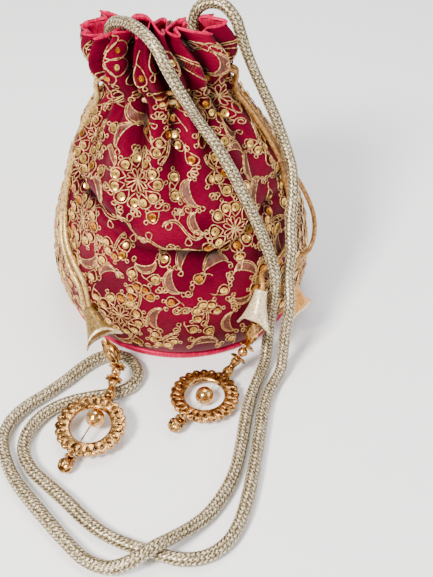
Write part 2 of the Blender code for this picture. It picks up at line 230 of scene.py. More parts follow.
# Creases where the full upper cloth sags over the lower: middle and half-width in degrees,
# height up the side in mm, slope in mm a degree and depth in mm
CREASES = ((-138, 42, 88, -0.32, 3.6), (-92, 34, 70, -0.20, 3.0), (-52, 30, 76, 0.25, 2.6),
           (10, 45, 84, -0.15, 3.0), (84, 40, 72, 0.20, 3.0), (150, 40, 80, -0.18, 3.0))
# How far the front of the frill leans back over the mouth, and how far it stands up, in mm
LEAN_IN = 15.0
STAND_UP = 7.5
# How far the back of the frill leans forward, and how much lower it stands, in mm
CLOSE_BACK = 11.0
SINK_BACK = 7.0


def turned_from(azimuth, middle):
    return (azimuth - middle + 180.0) % 360.0 - 180.0


def folds(azimuth, along):
    """How far the cloth stands in or out of the plain pouch, in mm."""
    below_neck = max(NECK_ALONG - along, 0.0)
    above = smooth_step(along, NECK_ALONG, NECK_ALONG + 9.0)
    wander = azimuth + 5.0 * math.sin(math.radians(2 * azimuth + 40))
    wander += 3.0 * math.sin(math.radians(5 * azimuth))
    fine = math.sin(math.radians(23 * wander)) + 0.45 * math.sin(math.radians(41 * wander + 60))
    out = 0.9 * fine * math.exp(-below_neck / 26.0) + above * 0.7 * math.sin(math.radians(11 * wander + 30))
    for middle, depth, width, reach in DEEP_FOLDS:
        away = turned_from(azimuth, middle + 4.0 * math.sin(below_neck / 22.0 + middle))
        spread = width * (1.0 + below_neck / 75.0)
        lip = 0.5 * math.exp(-((abs(away) - 1.8 * spread) / spread) ** 2)
        strength = math.exp(-(below_neck / reach) ** 1.3) * (0.62 + 0.38 * above)
        out -= (math.exp(-(away / spread) ** 2) - lip) * depth * strength
    for middle, reach, height, slope, depth in CREASES:
        away = turned_from(azimuth, middle)
        line = height + slope * away + 2.0 * math.sin(math.radians(7 * away))
        window = math.exp(-(away / reach) ** 4)
        out -= depth * window * math.exp(-((along - line) / 3.2) ** 2)
        out += 0.55 * depth * window * math.exp(-((along - line - 9.0) / 7.0) ** 2)
    drift = 2.2 * math.sin(math.radians(3 * azimuth))
    sag = math.sin(along / 6.5 + drift) * math.sin(math.radians(4 * azimuth + 25))
    low_side = smooth_step(along, 8.0, 30.0) * (1 - smooth_step(along, 70.0, 105.0))
    return out + 0.5 * sag * low_side


NECK_ALONG = float(np.interp(142.0, SIDE[:, 1], SIDE_ALONG))


def cloth_point(azimuth, along, lift=0.0):
    """A point on the pouch's outside, in mm: azimuth in degrees from +X, along in mm up the side."""
    radius = float(np.interp(along, SIDE_ALONG, SIDE[:, 0]))
    height = float(np.interp(along, SIDE_ALONG, SIDE[:, 1]))
    frill = smooth_step(along, NECK_ALONG + 4.0, SIDE_LENGTH)
    front = math.exp(-(turned_from(azimuth, -88.0) / 62.0) ** 4)
    puff = math.sin(math.pi * smooth_step(along, NECK_ALONG, SIDE_LENGTH + 6.0))
    back = math.exp(-(turned_from(azimuth, 90.0) / 58.0) ** 4)
    radius += folds(azimuth, along) + lift + 3.0 * puff - (LEAN_IN * front + CLOSE_BACK * back) * frill ** 1.6
    wave = 1.6 * math.sin(math.radians(3 * azimuth + 70)) + 1.2 * math.sin(math.radians(8 * azimuth))
    height += frill * wave
    height -= SINK_BACK * back * frill
    height += STAND_UP * front * frill * (1 - 0.6 * math.exp(-(turned_from(azimuth, -112.0) / 16.0) ** 2))
    angle = math.radians(azimuth)
    return Vector((lean(height) + radius * math.cos(angle), radius * math.sin(angle), height))


def cloth_frame(azimuth, along):
    """The cloth's point and its across, up and outward directions there."""
    here = cloth_point(azimuth, along)
    across = (cloth_point(azimuth + 0.5, along) - cloth_point(azimuth - 0.5, along)).normalized()
    up = cloth_point(azimuth, min(along + 0.4, SIDE_LENGTH)) - cloth_point(azimuth, along - 0.4)
    out = across.cross(up).normalized()
    return here, across, out.cross(across), out


def silk():
    """Dupion silk, hand-woven with slubs: a soft sheen, fine cross ribs, and painted shade that darkens it in
    its deep folds.
    """
    mat, tree, shader = new_material("dupion_silk_woven", "#6A0A28", 0.55)
    where = add_node(tree, "ShaderNodeUVMap", {"uv_map": "flat"})
    ribs = add_node(tree, "ShaderNodeMapping", {"Scale": (260.0, 2600.0, 1.0)},
                    {"Vector": where.outputs["UV"]})
    slubs = add_node(tree, "ShaderNodeTexNoise", {"Scale": 1.0, "Detail": 3.0, "Roughness": 0.6},
                     {"Vector": ribs.outputs["Vector"]})
    patches = add_node(tree, "ShaderNodeTexNoise", {"Scale": 38.0, "Detail": 2.0},
                       {"Vector": where.outputs["UV"]})
    mixed = add_node(tree, "ShaderNodeMath", {"operation": "ADD"},
                     {0: slubs.outputs["Fac"], 1: patches.outputs["Fac"]})
    half = add_node(tree, "ShaderNodeMath", {"operation": "MULTIPLY", 1: 0.5}, {0: mixed.outputs["Value"]})
    ramp = add_ramp(tree, half.outputs["Value"], (0.32, "#26010B"), (0.72, "#760527"))
    # Painted shade: the silk's colour is mixed towards near-black by how deep in a fold the cloth lies.
    hollow = add_node(tree, "ShaderNodeAttribute", {"attribute_name": "hollow"})
    shaded = add_node(tree, "ShaderNodeMixRGB", {"blend_type": "MIX", "Color2": colour("#0C0103")},
                      {"Fac": hollow.outputs["Fac"], "Color1": ramp.outputs["Color"]})
    tree.links.new(shaded.outputs["Color"], shader.inputs["Base Color"])
    add_bump(tree, shader, 0.35, 0.0002, slubs)
    shader.inputs["Specular IOR Level"].default_value = 0.3
    shader.inputs["Specular Tint"].default_value = colour("#D81848")
    return mat


def cloth_grid(name, rows, low, high, place):
    """A tube of cloth: a flat grid rolled round the pouch by place(azimuth, along) in mm,
    with a UV map that keeps the flat cloth's own size in metres."""
    shape = bmesh.new()
    bmesh.ops.create_grid(shape, x_segments=COLUMNS, y_segments=rows, size=0.5)
    flat = shape.loops.layers.uv.new("flat")
    hollow = shape.verts.layers.float.new("hollow")
    for face in shape.faces:
        for corner in face.loops:
            x, y = corner.vert.co.x + 0.5, corner.vert.co.y + 0.5
            corner[flat].uv = (x * CLOTH_ROUND * MM, (low + y * (high - low)) * MM)
    for vert in shape.verts:
        azimuth = (vert.co.x + 0.5) * 360.0 + 90.0
        along = low + (vert.co.y + 0.5) * (high - low)
        # Painted shade for the silk's colour: how deep in a fold the vertex lies, from 0 to 0.9.
        vert[hollow] = 0.9 * smooth_step(-folds(azimuth, min(along, SIDE_LENGTH)), 0.3, 4.2)
        vert.co = place(azimuth, along) * MM
    bmesh.ops.remove_doubles(shape, verts=shape.verts, dist=0.000002)
    bmesh.ops.recalc_face_normals(shape, faces=shape.faces)
    return mesh_of(shape, name)


def pouch_cloth():
    mesh = cloth_grid("pouch_cloth", ROWS, 0.0, SIDE_LENGTH, cloth_point)
    item = add_piece("pouch_cloth", mesh, silk())
    wall = item.modifiers.new("cloth", "SOLIDIFY")
    wall.thickness = CLOTH_THICK * MM
    wall.offset = -1.0
    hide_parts("outer_bag")


pouch_cloth()

# ---------------------------------------------------------------- satin lining, piping and base
# The lining is plain crimson satin, sewn to the silk at the rim and gathered with it. The same
# satin, cut on the bias over a filler cord, makes the piping round the base.
LINING_IN = 1.7
ROLL_OVER = 1.0


def satin():
    """Polyester satin: smooth and shiny, with fine ribs one way that stretch its highlights."""
    mat, tree, shader = new_material("crimson_satin_woven", "#A80A34", 0.34)
    where = add_node(tree, "ShaderNodeTexCoord")
    ribs = add_node(tree, "ShaderNodeMapping", {"Scale": (900.0, 900.0, 160.0)},
                    {"Vector": where.outputs["Object"]})
    threads = add_node(tree, "ShaderNodeTexNoise", {"Scale": 1.0, "Detail": 2.0},
                       {"Vector": ribs.outputs["Vector"]})
    ramp = add_ramp(tree, threads.outputs["Fac"], (0.3, "#8C0428"), (0.7, "#C80E4A"))
    tree.links.new(ramp.outputs["Color"], shader.inputs["Base Color"])
    add_bump(tree, shader, 0.2, 0.0002, threads)
    shader.inputs["Specular Tint"].default_value = colour("#FF5A80")
    return mat


SATIN = satin()


def lining_point(azimuth, along):
    """The lining follows the silk's folds near the rim, and rolls a little over the rim's edge."""
    over = smooth_step(along, SIDE_LENGTH, SIDE_LENGTH + ROLL_OVER)
    near_rim = smooth_step(along, NECK_ALONG + 2.0, NECK_ALONG + 7.0)
    inward = LINING_IN + (1 - near_rim) * 4.0 * smooth_step(along, NECK_ALONG - 14.0, NECK_ALONG - 8.0)
    point = cloth_point(azimuth, min(along, SIDE_LENGTH), -inward + over * (LINING_IN + 0.6))
    point.z += over * 0.5 + 1.3 * math.sin(math.pi * over)
    if along > SIDE_LENGTH:
        point.z += 0.6
    return point


def lining():
    mesh = cloth_grid("lining", 90, 4.0, SIDE_LENGTH + ROLL_OVER, lining_point)
    item = add_piece("satin_lining", mesh, SATIN)
    wall = item.modifiers.new("cloth", "SOLIDIFY")
    wall.thickness = 0.5 * MM
    wall.offset = 0.0
    shape = bmesh.new()
    bmesh.ops.create_circle(shape, cap_ends=True, segments=64, radius=64.0 * MM)
    bmesh.ops.translate(shape, vec=(0, 0, 6.0 * MM), verts=shape.verts)
    floor = add_piece("lining_floor", mesh_of(shape, "lining_floor"), SATIN)
    wall = floor.modifiers.new("cloth", "SOLIDIFY")
    wall.thickness = 0.6 * MM
    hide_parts("lining_bag")


def piping():
    """The piping's satin is twisted slightly, so its surface has shallow slanting puckers."""
    low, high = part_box("base_piping")
    tube = (high.z - low.z) / 2
    middle = high.x - tube
    shape = bmesh.new()
    bmesh.ops.create_circle(shape, segments=16, radius=tube, matrix=Matrix.Translation((middle, 0, tube))
                            @ Matrix.Rotation(math.pi / 2, 4, "X"))
    bmesh.ops.spin(shape, geom=shape.verts[:] + shape.edges[:], cent=(0, 0, 0), axis=(0, 0, 1),
                   angle=2 * math.pi, steps=240, use_merge=True)
    for vert in shape.verts:
        angle = math.atan2(vert.co.y, vert.co.x)
        flat = Vector((math.cos(angle), math.sin(angle), 0))
        core = flat * middle + Vector((0, 0, tube))
        rib = math.sin(90 * angle + 2.0 * math.atan2(vert.co.z - tube, (vert.co - core).dot(flat)))
        vert.co = core + (vert.co - core) * (1 - 0.05 * max(rib, 0.0))
    bmesh.ops.recalc_face_normals(shape, faces=shape.faces)
    item = add_piece("satin_piping", mesh_of(shape, "satin_piping"), SATIN)
    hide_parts("base_piping")


lining()
piping()

# ---------------------------------------------------------------- knitted handle cord
# A tube of metallic yarn, knitted round in eight columns of V stitches over a soft filler. Both ends
# go down inside the mouth. It hangs over the rim and lies in a crossed loop on the floor.
HANDLE_D = 7.0
STITCH = 2.3
KNIT_COLUMNS = 8
AROUND = 32
FLOOR_Z = HANDLE_D / 2 + 0.2


def on_bag(azimuth, height, gap):
    """A point beside the plain pouch, in mm: gap is its distance from the plain wall."""
    heights, radii = zip(*BAG_PROFILE)
    radius = float(np.interp(height, heights, radii)) + gap
    angle = math.radians(azimuth)
    return (lean(height) + radius * math.cos(angle), radius * math.sin(angle), height)


def handle_route():
    """From inside the mouth on the left, over the front rim, down to the floor, round the loop
    and back up to the mouth on the right. The crossing passes over in a long low hump."""
    left = [(-31.5, 1, 153), (-32.5, -1.5, 162.5), (-30, -6, 171), (-23, -14, 175.5), (-15, -24, 176),
            (-8, -32.5, 172), (-3, -37.5, 164), (2, -38.5, 154), (7, -38, 144)]
    left += [on_bag(-64, 132, 5.4), on_bag(-58, 121, 5.6), on_bag(-54.5, 108, 5.2),
             on_bag(-52, 94, 4.9), on_bag(-49.5, 80, 4.9), on_bag(-48.5, 66, 6.2), on_bag(-49, 55, 8.6),
             on_bag(-49.5, 43, 7.0)]
    left += [(50, -61, 29), (49, -62.5, 18), (48, -67, 8.5), (46.5, -74, FLOOR_Z)]
    inner = [(42.5, -86), (39, -97), (36.5, -108), (34.5, -120), (32.5, -133), (29.5, -147), (24.5, -160),
             (17, -172.5)]
    hump = [(9, -181.5, 5.4), (0.5, -189.5, 8.8), (-8, -196.5, 11.3), (-17.5, -202, 8.8), (-28, -203.5, 5.4)]
    outer = [(-39, -198.5), (-49, -189), (-58.5, -178), (-68.5, -166), (-78, -153.5), (-84.5, -141),
             (-88, -128), (-86, -115.5), (-79, -105), (-69.5, -96), (-60.5, -86.5), (-52.5, -77),
             (-44, -69.8), (-34, -68), (-26, -73), (-22.3, -82), (-25.5, -91), (-34, -96), (-45.5, -98.5),
             (-56, -101.5), (-65, -106.5), (-72, -114), (-76.3, -124), (-76.5, -135), (-71.5, -146),
             (-62.5, -155.5), (-52.5, -165), (-43, -175), (-33, -183.5), (-21, -190), (-8, -194.6),
             (5, -198), (16.5, -196), (25.5, -188.5), (31.5, -177), (35.5, -163), (38.5, -148), (41, -133),
             (43, -120), (44.8, -108), (47.5, -97), (51.5, -87.5)]
    right = [(55, -80.5, 5.4), (56.3, -75, 11), (57, -71.5, 19), (58, -68, 28), (59.3, -63.5, 38),
             on_bag(-42, 50, 8.8)]
    right += [on_bag(-38, 60, 8.0), on_bag(-31.5, 72, 6.6), on_bag(-23, 84, 7.8), on_bag(-14, 94, 8.2),
              (55.5, -6.5, 106), (50.5, -3, 118), (45, -1, 130), (39.5, 0.5, 142), (35.5, 1.5, 152),
              (32.5, 3, 161), (29.5, 5.5, 168.5), (23.5, 9.2, 173.5), (16.2, 12.2, 173.2),
              (10.4, 13, 168.8), (8.4, 12.3, 161.5), (8.6, 11, 155.5)]
    inner = [(x, y, FLOOR_Z) for x, y in inner]
    outer = [(x, y, FLOOR_Z) for x, y in outer]
    return left + inner + hump + outer + right


def carried_frames(path):
    """Each ring's two cross directions, carried along the path without twist."""
    ways = np.gradient(path, axis=0)
    ways /= np.linalg.norm(ways, axis=1)[:, None]
    side = np.cross(ways[0], (0.0, 0.0, 1.0))
    sides = []
    for way in ways:
        side = side - way * np.dot(side, way)
        side /= np.linalg.norm(side)
        sides.append(side)
    sides = np.array(sides)
    return sides, np.cross(ways, sides)


def swept_tube(name, path, around, radius_at):
    """A closed tube along the path in mm. radius_at(k, share) gives each vertex's radius and
    the value of its "stitch" attribute; share runs from 0 to 1 round the tube."""
    sides, tops = carried_frames(path)
    shape = bmesh.new()
    stitch = shape.verts.layers.float.new("stitch")
    rings = []
    for k, centre in enumerate(path):
        ring = []
        for i in range(around):
            turn = 2 * math.pi * i / around
            radius, value = radius_at(k, i / around)
            place = centre + (sides[k] * math.cos(turn) + tops[k] * math.sin(turn)) * radius
            vert = shape.verts.new(place * MM)
            vert[stitch] = value
            ring.append(vert)
        rings.append(ring)
    for low, high in zip(rings, rings[1:]):
        for i in range(around):
            shape.faces.new((low[i], low[i - 1], high[i - 1], high[i]))
    shape.faces.new(rings[0])
    shape.faces.new(reversed(rings[-1]))
    bmesh.ops.recalc_face_normals(shape, faces=shape.faces)
    return mesh_of(shape, name)


def metallic_knit():
    """Silver-champagne metallic yarn, knitted: painted highlight on the stitches, painted shade in dark
    grey-gold between them, and painted glints from fine noise.
    """
    mat, tree, shader = new_material("metallic_yarn_knitted", "#D6CAB2", 0.36, 0.4)
    stitch = add_node(tree, "ShaderNodeAttribute", {"attribute_name": "stitch"})
    where = add_node(tree, "ShaderNodeTexCoord")
    # Painted glints: fine noise, spread wide, brightens and darkens the yarn in small spots; the same noise
    # also drives the bump.
    glints = add_node(tree, "ShaderNodeTexNoise", {"Scale": 1100.0, "Detail": 3.0, "Roughness": 0.75},
                      {"Vector": where.outputs["Object"]})
    spread = add_node(tree, "ShaderNodeMath", {"operation": "MULTIPLY_ADD", 1: 2.8, 2: -1.4},
                      {0: glints.outputs["Fac"]})
    mixed = add_node(tree, "ShaderNodeMath", {"operation": "ADD"},
                     {0: stitch.outputs["Fac"], 1: spread.outputs["Value"]})
    # Painted light: through the stitch attribute the ramp paints a highlight on each stitch and shade between
    # the stitches.
    ramp = add_ramp(tree, mixed.outputs["Value"], (0.10, "#43361C"), (0.85, "#F7ECD2"))
    middle = ramp.color_ramp.elements.new(0.45)
    middle.color = colour("#A4906A")
    tree.links.new(ramp.outputs["Color"], shader.inputs["Base Color"])
    add_bump(tree, shader, 0.5, 0.0003, glints)
    return mat


def handle_cord():
    path = smooth_points(handle_route(), 0.62)
    along = np.arange(len(path)) * 0.62
    hanging = np.clip((path[:, 2] - 8.0) / 25.0, 0.0, 1.0)
    slack = 1 + 0.03 * np.sin(along / 9.0) + 0.03 * np.sin(along / 23.0 + 1.0) - 0.10 * hanging

    def knitted(k, share):
        column = (share * KNIT_COLUMNS) % 1.0 - 0.5
        row = along[k] / STITCH - abs(column) * 1.1 + 0.5 * (int(share * KNIT_COLUMNS) % 2)
        # yarn raises the stitches, and as the stitch attribute it also sets the knit's painted highlight and
        # painted shade.
        yarn = (0.5 + 0.5 * math.cos(2 * math.pi * row)) * (0.35 + 0.65 * math.cos(math.pi * column) ** 2)
        return (HANDLE_D / 2) * slack[k] * (0.88 + 0.11 * yarn), yarn

    item = add_piece("knitted_handle", swept_tube("knitted_handle", path, AROUND, knitted), metallic_knit())
    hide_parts("handle_cord")


handle_cord()

# ---------------------------------------------------------------- satin drawstrings
# Flat satin cords with fine lengthwise threads. Each goes once round inside the casing and ends in
# its bells. The left one is pale gold and the right one is a little more orange.
STRING_D = 2.6
LEFT_LOOP_Z = 139.0
RIGHT_LOOP_Z = 144.0
LOOP_RADIUS = 26.0
BELL_LENGTH = 18.0
# For each bell: middle of the mouth, middle of the narrow top, and the way its two tips spread
BELLS = {"left": ((-41.0, -74.1, 24.0), (-49.1, -59.5, 30.5), (0.89, 0.38, 0.26)),
         "right": ((40.5, -71.8, 33.0), (44.0, -63.5, 48.7), (0.80, -0.58, 0.13)),
         "spare": ((66.5, -48.5, 21.0), (60.2, -46.9, 39.5), (0.69, 0.70, 0.17))}


def bell_axis(name):
    mouth, top = (Vector(p) for p in BELLS[name][:2])
    return mouth, (top - mouth).normalized()


def on_bell(name, beyond_top, aside=0.0):
    """A point on the bell's axis beyond its narrow top, or beside the axis."""
    mouth, way = bell_axis(name)
    across = way.cross(Vector((0, 0, 1))).normalized() * aside
    return tuple(mouth + way * (BELL_LENGTH + beyond_top) + across)


def loop_round_neck(height, side):
    """One turn inside the casing, with both ends easing out through the slit."""
    middle = 0.0 if side > 0 else 180.0
    easing = ((37.0, 3.3, -3.2), (34.2, 3.6, -0.6), (30.8, 5.0, 0.0), (27.0, 10.0, 0.0))
    turns = list(easing)
    turns += [(LOOP_RADIUS, 20.0 + 320.0 * i / 12, 0.0) for i in range(13)]
    turns += [(r, 360.0 - a, drop) for r, a, drop in reversed(easing)]
    points = []
    for radius, azimuth, drop in turns:
        angle = math.radians(middle + azimuth)
        points.append((lean(height) + radius * math.cos(angle), radius * math.sin(angle), height + drop))
    return points


def left_string_route():
    down_back = [on_bag(183, 128.5, 2.6), on_bag(184.5, 120, 2.0), on_bag(189, 106, 1.9),
                 on_bag(192.5, 88, 1.8), on_bag(197.5, 71, 1.8), on_bag(206, 57, 2.2),
                 on_bag(216, 47.5, 2.6), on_bag(224, 40.5, 2.6)]
    down_front = [on_bag(187.5, 128.5, 2.6), on_bag(189.5, 120, 2.0), on_bag(193, 106, 1.9),
                  on_bag(196.5, 88, 2.0), on_bag(202, 71, 1.8), on_bag(210.5, 58, 1.8),
                  on_bag(219.5, 50, 1.8), on_bag(226.5, 44, 2.0)]
    beside = STRING_D / 2 + 0.15
    up = [on_bell("left", -5.0, -beside), on_bell("left", 1.5, -beside)] + down_back[::-1]
    down = down_front + [on_bell("left", 1.5, beside), on_bell("left", -5.0, beside)]
    return up + loop_round_neck(LEFT_LOOP_Z, -1)[::-1] + down


def right_string_route():
    up = [on_bell("right", -5.0), on_bell("right", 2.0), on_bag(-51.5, 54, 2.0), on_bag(-44, 55, 1.8),
          on_bag(-35, 58, 1.8), on_bag(-28, 64, 1.8), on_bag(-21, 74, 1.8), on_bag(-16, 86, 1.8),
          on_bag(-12.5, 98, 1.8), on_bag(-11, 111, 1.8), on_bag(-9, 124, 2.0), on_bag(-6.5, 133, 3.0)]
    down = [on_bag(2, 133, 3.0), on_bag(-2.5, 124, 2.0), on_bag(-5.5, 111, 1.8), on_bag(-6, 98, 1.9),
            on_bag(-5, 86, 3.0), on_bag(-6, 73, 5.5), on_bag(-9, 60, 7.0), on_bag(-13.5, 50.5, 7),
            on_bag(-20.5, 46, 5.5), on_bag(-28.5, 47, 4), on_bell("spare", 3.5), on_bell("spare", -5.0)]
    return up + loop_round_neck(RIGHT_LOOP_Z, 1)[::-1] + down


def gold_satin(name, dark, light, ribs_per_m, roughness=0.3):
    """Gold tissue satin: the same weave in two shades, mixed by fine noise."""
    mat, tree, shader = new_material(name, light, roughness, 0.35)
    where = add_node(tree, "ShaderNodeTexCoord")
    threads = add_node(tree, "ShaderNodeTexNoise", {"Scale": ribs_per_m, "Detail": 3.0, "Roughness": 0.65},
                       {"Vector": where.outputs["Object"]})
    ramp = add_ramp(tree, threads.outputs["Fac"], (0.36, dark), (0.62, light))
    tree.links.new(ramp.outputs["Color"], shader.inputs["Base Color"])
    add_bump(tree, shader, 0.35, 0.0002, threads)
    return mat


def drawstring(name, node, route, mat):
    path = smooth_points(route, 0.8)

    def flat_ribbed(k, share):
        turn = 2 * math.pi * share
        rib = 0.5 + 0.5 * math.cos(6 * turn + k * 0.03)
        return STRING_D / 2 * (0.93 + 0.10 * math.cos(2 * turn) + 0.03 * rib), rib

    item = add_piece(name, swept_tube(name, path, 12, flat_ribbed), mat)
    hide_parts(node)


drawstring("left_string", "drawstring_left", left_string_route(),
           gold_satin("pale_gold_satin_cord", "#86622E", "#E2BE7C", 900.0))
drawstring("right_string", "drawstring_right", right_string_route(),
           gold_satin("orange_gold_satin_cord", "#70461C", "#CC924A", 900.0))

# ---------------------------------------------------------------- satin bells
# Each bell is a square of gold tissue rolled into a cone, with two of its corners left as points at
# the mouth. The narrow top is sewn round the string's ends. Outside, rim and inside differ in shade.
BELL_WALL = 0.5
BELL_SIDE = ((18.0, 3.3), (15.5, 3.5), (12.0, 4.0), (8.0, 4.9), (4.0, 6.2), (0.0, 7.6))


def bell_point(share, angle, inset):
    """share runs from the narrow top (0) to the mouth (1). The mouth is flattened, with two tips."""
    height = BELL_LENGTH * (1 - share)
    radius = float(np.interp(height, [h for h, r in BELL_SIDE][::-1], [r for h, r in BELL_SIDE][::-1]))
    flare = share ** 2
    tip = math.cos(angle) ** 4
    wide = radius * (1 + 0.18 * flare + 0.22 * flare * tip)
    deep = radius * (1 - 0.42 * flare)
    fold = 1 + 0.05 * flare * math.cos(5 * angle + 1.0) + 0.03 * math.cos(3 * angle + 6 * share)
    down = -3.6 * flare * tip + 1.2 * flare * (1 - tip)
    return Vector(((wide * fold - inset) * math.cos(angle), (deep * fold - inset) * math.sin(angle),
                   height + down))


def satin_bell(name, node, mats):
    mouth, way = bell_axis(name)
    spread = Vector(BELLS[name][2])
    spread = (spread - way * spread.dot(way)).normalized()
    turn = Matrix((spread, way.cross(spread), way)).transposed()
    shape = bmesh.new()
    bmesh.ops.create_grid(shape, x_segments=48, y_segments=36, size=0.5)
    for vert in shape.verts:
        angle = (vert.co.x + 0.5) * 2 * math.pi
        down = (vert.co.y + 0.5) * 2
        outside = down <= 1.0
        local = bell_point(down if outside else 2.0 - down, angle, 0.0 if outside else BELL_WALL)
        vert.co = (mouth + turn @ local) * MM
    for face in shape.faces:
        row = (face.index // 48) / 36
        face.material_index = 0 if row < 0.44 else (1 if row < 0.53 else 2)
    bmesh.ops.remove_doubles(shape, verts=shape.verts, dist=0.000005)
    bmesh.ops.holes_fill(shape, edges=shape.edges, sides=60)
    bmesh.ops.recalc_face_normals(shape, faces=shape.faces)
    item = add_piece(node + "_satin", mesh_of(shape, node), None)
    for mat in mats:
        item.data.materials.append(mat)
    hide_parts(node)


KHAKI = gold_satin("khaki_gold_tissue", "#57441E", "#A58348", 900.0)
ORANGE = gold_satin("orange_gold_tissue", "#B06A20", "#E8A448", 900.0)
CREAM = gold_satin("cream_gold_tissue", "#B99A66", "#F6E6C4", 900.0)
INSIDE = gold_satin("bright_gold_tissue", "#A8772A", "#F3D188", 900.0, 0.22)
satin_bell("left", "bell_left", (KHAKI, CREAM, INSIDE))
satin_bell("right", "bell_right", (CREAM, CREAM, INSIDE))
satin_bell("spare", "spare_bell_right", (ORANGE, CREAM, CREAM))

# ---------------------------------------------------------------- zari embroidery
# Zari is a gold-wrapped thread, couched down in double lines: drop-shaped loops round sequins,
# flowers of such loops, crescents filled with hatched stitches, and scrolling vines.
# A motif is drawn flat in mm, with its own up. It is then laid on the cloth at a place given by
# azimuth in degrees and height up the side in mm.
THREAD_R = 0.34
SEQUIN_TIP = 0.16
random.seed(7)


def drop_outline(length, width, foot=(0.0, 0.0), turn=0.0, steps=16):
    """A drop-shaped loop: pointed at its foot, round at its far end. turn is in degrees."""
    points = []
    for i in range(steps + 1):
        t = 2 * math.pi * i / steps
        x = 0.62 * width * math.sin(t) * math.sin(t / 2) ** 1.1
        points.append((x, length * (1 - math.cos(t)) / 2))
    return turned_points(points, foot, turn)


def turned_points(points, foot, turn):
    c, s = math.cos(math.radians(turn)), math.sin(math.radians(turn))
    return [(foot[0] + x * c - y * s, foot[1] + x * s + y * c) for x, y in points]


def curl(radius, turns, foot=(0.0, 0.0), turn=0.0, hand=1):
    """A spiral that starts at its foot going up and winds inwards."""
    points = []
    steps = int(14 * turns)
    for i in range(steps + 1):
        share = i / steps
        r = radius * (1 - 0.72 * share)
        angle = math.pi - 2 * math.pi * turns * share
        points.append((hand * (radius + r * math.cos(angle)), r * math.sin(angle)))
    return turned_points(points, foot, turn)


def crescent_sides(length, width):
    """The outer and inner edges of a crescent that opens to its right."""
    outer, inner = [], []
    for i in range(13):
        t = math.pi * (i / 12 - 0.5)
        outer.append((-width * math.cos(t), length / 2 * math.sin(t)))
        inner.append((-0.38 * width * math.cos(t), length / 2 * math.sin(t)))
    return outer, inner


class Motif:
    """Lines of thread, hatched stitches and sequins drawn flat, in mm."""

    def __init__(self):
        self.lines = []
        self.hatch = []
        self.sequins = []


def sequin_drop(motif, foot, turn, size=1.0):
    """A sequin ringed by a drop-shaped loop, with a tiny loop beyond it."""
    motif.lines.append(drop_outline(8.0 * size, 7.2 * size, foot, turn))
    middle = turned_points([(0, 4.9 * size)], foot, turn)[0]
    motif.sequins.append((*middle, 2.35 * size))
    tip = turned_points([(0, 7.9 * size)], foot, turn)[0]
    motif.lines.append(drop_outline(2.3, 2.2, tip, turn, 8))


def flower(petals, radius, size=1.0):
    """Sequin drops round a centre of pointed loops."""
    motif = Motif()
    for i in range(petals):
        turn = 360.0 * i / petals + random.uniform(-4, 4)
        foot = turned_points([(0, radius)], (0, 0), turn)[0]
        sequin_drop(motif, foot, turn, size)
        motif.lines.append(drop_outline(radius, 2.4 * size, (0, 0), turn + 180 / petals, 10))
    return motif


def sprig(petals, spread):
    """A stem with sequin drops fanned out at its end, and a curl at its foot."""
    motif = Motif()
    for i in range(petals):
        turn = -spread / 2 + spread * i / (petals - 1)
        foot = turned_points([(0, 1.5)], (0, 0), turn)[0]
        sequin_drop(motif, foot, turn, 0.82)
    motif.lines.append([(0, 1), (-0.8, -2), (-2.2, -5), (-4.6, -7.5)])
    motif.lines.append([(0.9, 1), (0.2, -2.2), (-1.4, -5.6), (-4.2, -8.4)])
    motif.lines.append(curl(2.4, 1.1, (-4.4, -8.0), 60.0, 1))
    return motif


def crescent(length, width):
    """A hatched crescent with a double outline that ends in a curl."""
    motif = Motif()
    outer, inner = crescent_sides(length, width)
    motif.lines.append(outer)
    motif.lines.append(inner)
    wide = [(x - 0.9, y * 1.06) for x, y in outer]
    motif.lines.append(wide)
    for a, b, c, d in zip(outer[1:], inner[1:], outer[2:], inner[2:-1]):
        for share in (0.0, 0.34, 0.67):
            start = (a[0] + (c[0] - a[0]) * share, a[1] + (c[1] - a[1]) * share)
            end = (b[0] + (d[0] - b[0]) * share, b[1] + (d[1] - b[1]) * share)
            motif.hatch.append([start, end])
    motif.lines.append(curl(1.6, 1.2, (0.0, length / 2), 10.0, 1))
    motif.lines.append(drop_outline(3.0, 2.6, (0.4, -length / 2), 200.0, 8))
    return motif


def vine(length):
    """A double S line with a curl at each end and small leaves."""
    motif = Motif()
    stem = [(-length / 2, -1.5), (-length / 3, 1.6), (-length / 8, 1.9), (length / 10, -0.6),
            (length / 3, -2.0), (length / 2, 0.6)]
    for shift in (0.0, 1.1):
        motif.lines.append([(x, y + shift) for x, y in stem])
    motif.lines.append(curl(2.8, 1.3, (-length / 2, -1.5), 20.0, 1))
    motif.lines.append(curl(2.6, 1.3, (length / 2, 1.2), 10.0, -1))
    motif.lines.append(drop_outline(4.2, 3.4, (-length / 6, 3.0), 20.0, 10))
    motif.lines.append(drop_outline(4.2, 3.4, (length / 6, -2.0), 200.0, 10))
    return motif


def lone_drop():
    motif = Motif()
    sequin_drop(motif, (0, -4.4), 0.0, 0.9)
    motif.lines.append([(0, -4.4), (-0.9, -6.0), (-2.6, -6.8)])
    return motif


def lone_curl():
    motif = Motif()
    motif.lines.append(curl(2.3, 1.5, (-1.6, -1.0), 0.0, 1))
    motif.lines.append(drop_outline(3.2, 2.6, (-1.8, -1.0), 140.0, 8))
    return motif


def tiny_loops():
    motif = Motif()
    for turn in (-70, -25, 25, 70):
        motif.lines.append(drop_outline(3.4, 2.2, (0, -1.4), turn, 8))
    return motif


# Each motif's maker, and the room it needs round its middle in mm
MOTIFS = {"flower": (lambda: flower(11, 6.2, 0.94), 13.6),
          "small_flower": (lambda: flower(8, 4.4, 0.8), 10.4),
          "sprig": (lambda: sprig(5, 200.0), 9.2),
          "crescent": (lambda: crescent(13.5, 6.4), 6.8),
          "small_crescent": (lambda: crescent(10.5, 5.2), 5.2),
          "vine": (lambda: vine(20.0), 6.6),
          "drop": (lone_drop, 4.3),
          "curl": (lone_curl, 2.9),
          "loops": (tiny_loops, 2.4)}
